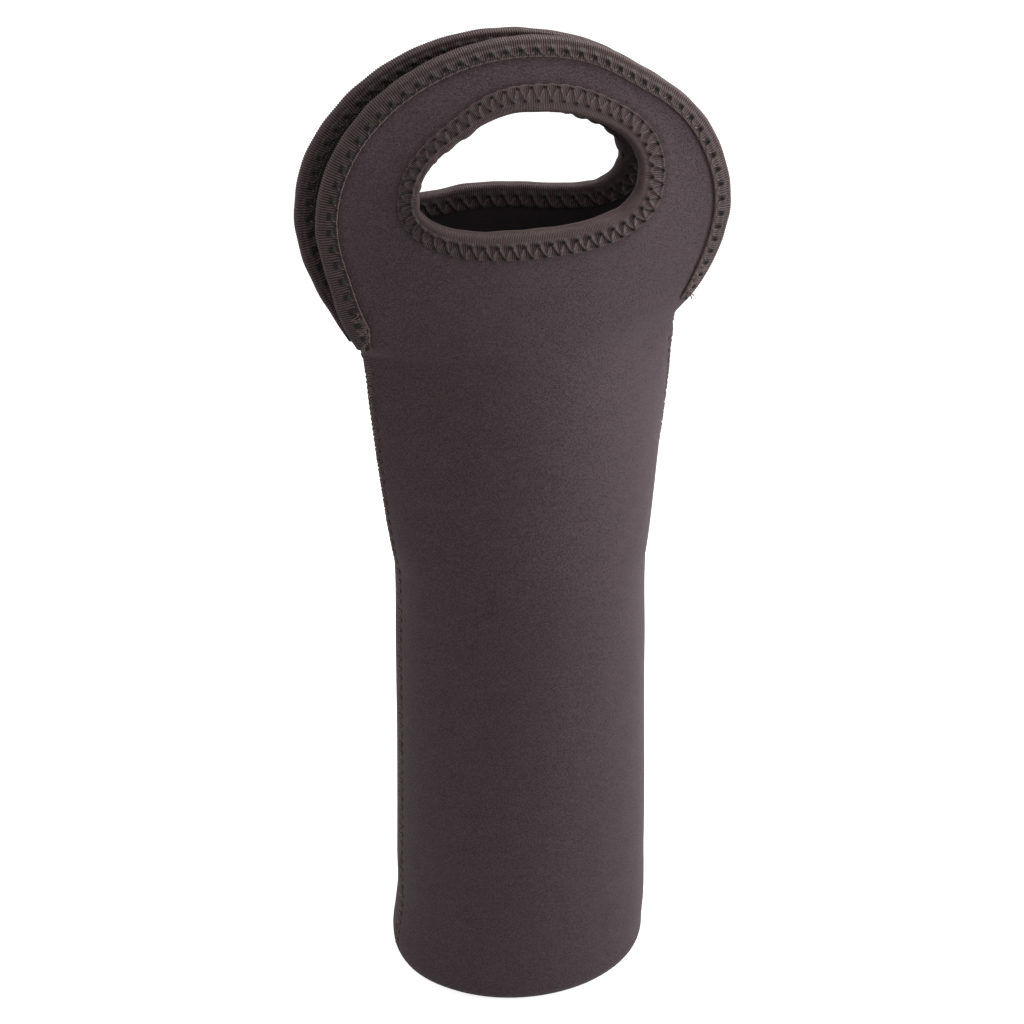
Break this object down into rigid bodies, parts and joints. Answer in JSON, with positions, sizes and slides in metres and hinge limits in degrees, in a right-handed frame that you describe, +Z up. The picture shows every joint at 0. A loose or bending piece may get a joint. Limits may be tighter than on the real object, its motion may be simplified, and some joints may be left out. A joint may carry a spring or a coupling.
{
  "type": "bottle carrier",
  "caption": "Soft foam bottle sleeve whose front and back panels run up into rounded carrying handles with bound grip holes.",
  "frame": {"origin": "middle of the underside of the base, on the surface that the carrier stands on", "axes": "+Z up along the sleeve, +X across the panels to the right as seen from the front, +Y from the front panel to the back panel"},
  "size_m": [0.1477, 0.0844, 0.3617],
  "materials": {
    "foam_sheet": "matte knitted jersey face on foam rubber",
    "binding_tape": "ribbed elastic binding tape",
    "sewing_thread": "bulked polyester thread"
  },
  "bodies": {
    "sleeve": {"front_body_panel": "foam_sheet", "back_body_panel": "foam_sheet", "base_panel": "foam_sheet", "left_side_seam": "sewing_thread", "right_side_seam": "sewing_thread", "base_seam": "sewing_thread", "left_bartack": "sewing_thread", "right_bartack": "sewing_thread"},
    "front_handle": {"front_handle_panel": "foam_sheet", "front_edge_binding": "binding_tape", "front_grip_binding": "binding_tape", "front_edge_stitching": "sewing_thread", "front_grip_stitching": "sewing_thread"},
    "back_handle": {"back_handle_panel": "foam_sheet", "back_edge_binding": "binding_tape", "back_grip_binding": "binding_tape", "back_edge_stitching": "sewing_thread", "back_grip_stitching": "sewing_thread"}
  },
  "joints": [
    {"name": "front_handle_flex", "type": "hinge", "parent": "sleeve", "child": "front_handle", "pos_m": [0, -0.02, 0.265], "axis": [1, 0, 0], "range_deg": [0, 50], "stiffness_Nm_per_rad": 0.12},
    {"name": "back_handle_flex", "type": "hinge", "parent": "sleeve", "child": "back_handle", "pos_m": [0, 0.02, 0.265], "axis": [-1, 0, 0], "range_deg": [0, 50], "stiffness_Nm_per_rad": 0.12}
  ]
}
